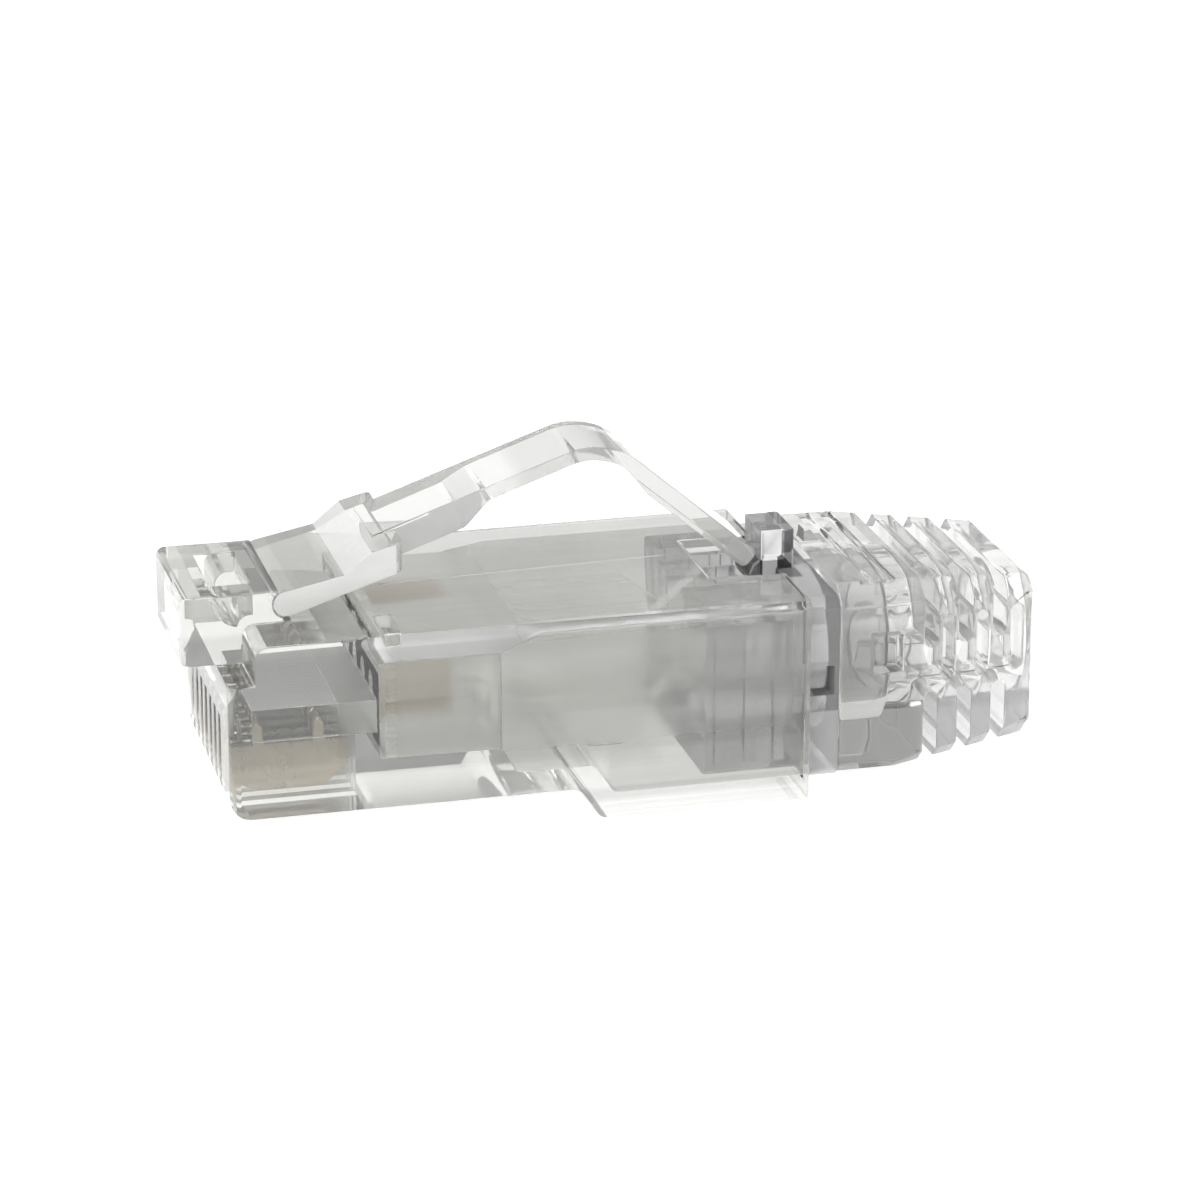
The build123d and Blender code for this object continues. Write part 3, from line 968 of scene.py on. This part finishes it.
@dataclass
class Boot:
    """Clear ribbed boot behind the collar."""

    edge: float = 0.08 * MM
    bore_height: float = 4.4 * MM
    pocket_middle: float = 10.25 * MM
    finish: ClearMoulding = field(
        default_factory=lambda: ClearMoulding(
            "boot_clear",
            tint=(0.95, 0.952, 0.94),
            clouding=(0.91, 0.912, 0.9),
            density=8.0,
            clearness=0.83,
            patches=(
                # Painted shade on the block under its grooves, and painted highlight on the lower
                # ends of the ribs
                PaintedLight((8.3, -6.0, 0.0), (11.7, 6.0, 6.6), colour=(0.72, 0.723, 0.705)),
                PaintedLight((11.9, -6.0, 0.0), (17.0, 6.0, 3.4)),
            ),
        )
    )

    def build(self) -> bpy.types.Object:
        """Make the boot.

        Returns:
            The finished piece.
        """
        cuts = [
            (MIDDLE, ACROSS),
            ((0.0, 0.0, self.bore_height), UP),
            ((self.pocket_middle, 0.0, 0.0), ALONG),
        ]
        piece = merged_copy("strain_boot", "boot", cuts)
        soften_edges(piece, self.edge, segments=3)
        shade(piece)
        dress(piece, self.finish.build(), Body.HOUSING, "boot")
        return piece


@dataclass
class Latch:
    """Hinged plate with two locking shoulders, and the arched arm that springs back over the body.

    Distances are from the hinge axis, along the plug and up.
    """

    hinge_radius: float = 0.5 * MM
    hinge_turns: range = range(30, 180, 15)  # Degrees round the hinge edge, from its top
    plate_underside_slope: float = radians(18.06)
    plate_top_slope: float = radians(11.4)
    ramp: float = 2.18 * MM
    shoulder_rise: Point = (3.21 * MM, 1.79 * MM)
    shoulder: Point = (4.4 * MM, 2.09 * MM)
    shoulder_corner: float = 0.25 * MM
    shoulder_segments: int = 4
    arm_start: Point = (4.3 * MM, 2.21 * MM)
    arm_slope: float = radians(19.3)
    arm_root: float = -0.83 * MM
    arm_length: float = 8.722 * MM
    arm_thickness: float = 1.16 * MM
    thin: float = 0.53 * MM
    thin_start: float = 2.56 * MM
    thin_ramp: float = 1.17 * MM
    peak_radius: float = 2.6 * MM
    peak_segments: int = 14
    leg_slope: float = radians(40.3)
    leg_length: float = 7.825 * MM
    leg_thickness: float = 0.79 * MM
    leg_thin_length: float = 1.6 * MM
    leg_ramp: float = 1.25 * MM
    tip_radius: float = 0.25 * MM
    tip_segments: int = 5
    ramp_segments: int = 4
    edge: float = 0.05 * MM
    bend_share: float = 0.5
    bend_cuts: int = 7
    faces_up: float = 0.3
    faces_aside: float = 0.9
    finish: ClearMoulding = field(
        default_factory=lambda: ClearMoulding(
            "latch_clear",
            tint=(0.95, 0.952, 0.935),
            clouding=(0.94, 0.942, 0.925),
            density=8.0,
            ior=1.28,
            clearness=0.77,
            flow_scale=900.0,
            flow_stretch=(0.3, 1.0, 0.3),
            patches=(
                # Painted shade on the plate, and on the arm from behind its root
                PaintedLight((-12.3, -4.0, 7.0), (-10.5, 4.0, 9.6), colour=(0.8, 0.803, 0.785)),
                PaintedLight((-3.6, -3.0, 8.0), (8.0, 3.0, 15.0), colour=(0.82, 0.823, 0.805)),
            ),
        )
    )
    # Frosted white material that paints the highlight on the ramp and the reflection on the sides
    # of the plate
    highlight_frost: ClearMoulding = field(
        default_factory=lambda: ClearMoulding(
            "latch_matt",
            tint=(1.0, 1.0, 0.985),
            clouding=(0.96, 0.962, 0.945),
            density=5.0,
            ior=1.28,
            clearness=0.3,
        )
    )
    plate_width: float = field(init=False)
    arm_width: float = field(init=False)
    hinge: Point = field(init=False)
    flex: Point = field(init=False)

    def __post_init__(self) -> None:
        """Take the widths and the two axes from the frame."""
        low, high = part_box("latch_lever")
        self.plate_width = high[1] - low[1]
        low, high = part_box("latch_tail")
        self.arm_width = high[1] - low[1]
        axes = {joint["name"]: joint["pos_m"] for joint in frame["joints"]}
        self.hinge = (axes["latch_press"][0], axes["latch_press"][2])
        self.flex = (axes["latch_flex"][0], axes["latch_flex"][2])

    def at(self, distance: float, height: float) -> Point:
        """Point at a distance along the plug and a height from the hinge axis."""
        return self.hinge[0] + distance, self.hinge[1] + height

    def arm_point(self, distance: float, depth: float) -> Point:
        """Find a point of the arm.

        Args:
            distance: Distance along the arm's top line.
            depth: Depth under that line.

        Returns:
            X and Z of the point.
        """
        x = self.arm_start[0] + distance * cos(self.arm_slope) + depth * sin(self.arm_slope)
        z = self.arm_start[1] + distance * sin(self.arm_slope) - depth * cos(self.arm_slope)
        return self.at(x, z)

    def leg_point(self, distance: float, depth: float) -> Point:
        """Find a point of the leg.

        Args:
            distance: Distance from the peak down the leg's top line.
            depth: Depth under that line.

        Returns:
            X and Z of the point.
        """
        peak = self.arm_point(self.arm_length, 0.0)
        x = peak[0] + distance * cos(self.leg_slope) - depth * sin(self.leg_slope)
        z = peak[1] - distance * sin(self.leg_slope) - depth * cos(self.leg_slope)
        return x, z

    def make_plate(self) -> bpy.types.Object:
        """Shape the wide plate with its round hinge edge and rounded shoulder corners.

        Returns:
            The plate.
        """
        under = self.plate_underside_slope
        top = self.plate_top_slope
        under_start = (self.hinge_radius * sin(under), -self.hinge_radius * cos(under))
        top_start = (-self.hinge_radius * sin(top), self.hinge_radius * cos(top))
        under_end = under_start[1] + (self.shoulder[0] - under_start[0]) * tan(under)
        ramp_height = top_start[1] + (self.ramp - top_start[0]) * tan(top)
        round_hinge = [
            self.at(-self.hinge_radius * sin(angle), self.hinge_radius * cos(angle))
            for angle in (radians(turn) for turn in self.hinge_turns)
        ]
        corners = [
            self.at(*under_start),
            self.at(self.shoulder[0], under_end),
            self.at(*self.shoulder),
            self.at(*self.shoulder_rise),
            self.at(self.ramp, ramp_height),
            self.at(*top_start),
            *round_hinge,
        ]
        plate = draw_profile("latch_plate", corners, self.plate_width)
        back = self.at(*self.shoulder)[0]

        def upright(first: Vector, second: Vector) -> bool:
            """Tell whether an edge stands upright at the back of the shoulders."""
            at_back = abs(first.x - back) < NEAR and abs(second.x - back) < NEAR
            return at_back and abs(first.y - second.y) < NEAR

        select_edges(plate, upright)
        return bevel(plate, self.shoulder_corner, self.shoulder_segments)

    def make_arm(self) -> bpy.types.Object:
        """Shape the arm: thick root, thin spring, round peak and thicker leg.

        Returns:
            The arm.
        """
        turn = (self.arm_slope + self.leg_slope) / 2
        peak_under = self.arm_point(self.arm_length - self.thin * tan(turn), self.thin)
        peak = self.arm_point(self.arm_length, 0.0)
        tip_top = self.leg_point(self.leg_length, 0.0)
        tip_under = self.leg_point(self.leg_length, self.leg_thickness)
        leg_ramp_end = self.leg_point(self.leg_thin_length + self.leg_ramp, self.leg_thickness)
        leg_ramp_start = self.leg_point(self.leg_thin_length, self.thin)
        thin_end = self.arm_point(self.thin_start + self.thin_ramp, self.thin)
        thin_begin = self.arm_point(self.thin_start, self.arm_thickness)
        corners = [
            self.arm_point(self.arm_root, 0.0),
            peak,
            tip_top,
            tip_under,
            leg_ramp_end,
            leg_ramp_start,
            peak_under,
            thin_end,
            thin_begin,
            self.arm_point(self.arm_root, self.arm_thickness),
        ]
        arm = draw_profile("latch_spring", corners, self.arm_width)
        for place, radius in ((peak, self.peak_radius), (peak_under, self.peak_radius - self.thin)):
            round_edge(arm, place, radius * tan(turn), self.peak_segments)
        for place in (tip_top, tip_under):
            round_edge(arm, place, self.tip_radius, self.tip_segments)
        for place in (leg_ramp_end, leg_ramp_start, thin_end, thin_begin):
            round_edge(arm, place, self.tip_radius / 2, self.ramp_segments)
        return arm

    def cut_for_bend(self, piece: bpy.types.Object, start: Vector, end: Vector) -> None:
        """Cut rings round the arm where it bends.

        Args:
            piece: The latch.
            start: Where the bend begins.
            end: Where the bend ends.
        """
        along = (end - start).normalized()
        for number in range(self.bend_cuts):
            place = start.lerp(end, number / (self.bend_cuts - 1))
            edit(piece)
            bpy.ops.mesh.bisect(plane_co=place, plane_no=along)
            close(piece)

    def paint_ramp_highlight(self, piece: bpy.types.Object) -> None:
        """Give the ramp and the sides of the plate the frosted white material of their painted
        highlight.

        Args:
            piece: The latch, with the highlight material as its second material.
        """
        start, end = self.hinge[0] + self.ramp, self.hinge[0] + self.shoulder_rise[0]
        for face in piece.data.polygons:
            x, normal = face.center.x, face.normal
            on_ramp = start < x < end and normal.z > self.faces_up
            on_side = x < end and abs(normal.y) > self.faces_aside
            if on_ramp or on_side:
                face.material_index = 1

    def build(self) -> bpy.types.Object:
        """Make the latch in one piece, as it is moulded.

        Returns:
            The finished piece.
        """
        piece = self.make_plate()
        combine(piece, self.make_arm(), Work.FUSE)
        piece.name = "arched_latch"
        soften_edges(piece, self.edge)
        half = self.bend_share * self.arm_thickness
        slope = Vector((cos(self.arm_slope), 0.0, sin(self.arm_slope)))
        pivot = Vector((self.flex[0], 0.0, self.flex[1]))
        start, end = pivot - slope * half, pivot + slope * half
        self.cut_for_bend(piece, start, end)
        shade(piece)
        piece.data.materials.clear()
        piece.data.materials.append(self.finish.build())
        # Second material: painted highlight on the ramp and the plate's sides
        piece.data.materials.append(self.highlight_frost.build())
        self.paint_ramp_highlight(piece)
        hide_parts("latch_lever", "latch_tail")
        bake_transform(piece)
        log.info("%s: %d faces", piece.name, len(piece.data.polygons))
        return piece


@dataclass(frozen=True)
class Softbox:
    """Square studio light that hangs at a place and faces the plug."""

    name: str
    place: Place
    size: float
    power: float
    target: Place = (0.0, 0.0, 6 * MM)

    def build(self) -> None:
        """Hang the light."""
        data = bpy.data.lights.new(self.name, "AREA")
        data.shape = "SQUARE"
        data.size = self.size
        data.energy = self.power
        lamp = bpy.data.objects.new(self.name, data)
        lamp.location = self.place
        aim = Vector(self.target) - Vector(self.place)
        lamp.rotation_euler = aim.to_track_quat("-Z", "Y").to_euler()
        bpy.context.scene.collection.objects.link(lamp)


@dataclass
class Studio:
    """Floor, light and camera."""

    floor_size: float = 3.0
    camera_place: Place = (-0.038277, -0.150816, 0.060557)
    camera_back: Place = (-0.23367, -0.91551, 0.32746)
    lens: float = 128.66
    sensor: float = 36.0
    clip: tuple[float, float] = (0.01, 10.0)
    clear_walls: int = 24
    glossy_bounces: int = 8
    diffuse_bounces: int = 3
    world_colour: Colour = (1.0, 1.0, 1.0)
    world_strength: float = 0.45
    softboxes: tuple[Softbox, ...] = (
        Softbox("key_softbox", (-0.25, -0.2, 0.45), size=0.3, power=2.0),
        Softbox("rim_softbox", (0.35, 0.3, 0.3), size=0.25, power=0.35),
    )
    paper: StudioPaper = field(default_factory=lambda: StudioPaper("studio_paper"))

    def add_floor(self) -> None:
        """Lay the pale floor."""
        bpy.ops.object.select_all(action="DESELECT")
        bpy.ops.mesh.primitive_plane_add(size=self.floor_size, location=(0, 0, 0))
        floor = bpy.context.active_object
        floor.name = "studio_floor"
        floor.data.materials.append(self.paper.build())

    def add_light(self) -> None:
        """Add even white surroundings and the weak softboxes."""
        world = bpy.data.worlds.new("studio_surround")
        bpy.context.scene.world = world
        world.use_nodes = True
        background = world.node_tree.nodes["Background"]
        background.inputs["Color"].default_value = (*self.world_colour, 1.0)
        background.inputs["Strength"].default_value = self.world_strength
        for softbox in self.softboxes:
            softbox.build()

    def add_camera(self) -> None:
        """Stand the camera where the photograph was taken from."""
        data = bpy.data.cameras.new("photo_camera")
        data.lens = self.lens
        data.sensor_width = self.sensor
        data.clip_start, data.clip_end = self.clip
        camera = bpy.data.objects.new("photo_camera", data)
        camera.location = self.camera_place
        camera.rotation_mode = "QUATERNION"
        camera.rotation_quaternion = Vector(self.camera_back).to_track_quat("Z", "Y")
        bpy.context.scene.collection.objects.link(camera)
        bpy.context.scene.camera = camera

    def set_picture(self) -> None:
        """Let light pass through many clear walls, and keep plain colours."""
        scene = bpy.context.scene
        scene.cycles.max_bounces = self.clear_walls
        scene.cycles.transmission_bounces = self.clear_walls
        scene.cycles.glossy_bounces = self.glossy_bounces
        scene.cycles.diffuse_bounces = self.diffuse_bounces
        scene.cycles.use_denoising = True
        scene.view_settings.view_transform = "Standard"
        scene.view_settings.look = "None"

    def build(self) -> None:
        """Set up the whole studio."""
        self.add_floor()
        self.add_light()
        self.add_camera()
        self.set_picture()


def main() -> None:
    """Build every piece of the plug and the studio round it."""
    logging.basicConfig(level=logging.INFO, format="%(name)s %(message)s")
    for assembly in (Shell(), Insides(), ContactSet(), Collar(), Boot(), Latch(), Studio()):
        assembly.build()
        log.info("%s is done", type(assembly).__name__)


if __name__ == "__main__":
    main()
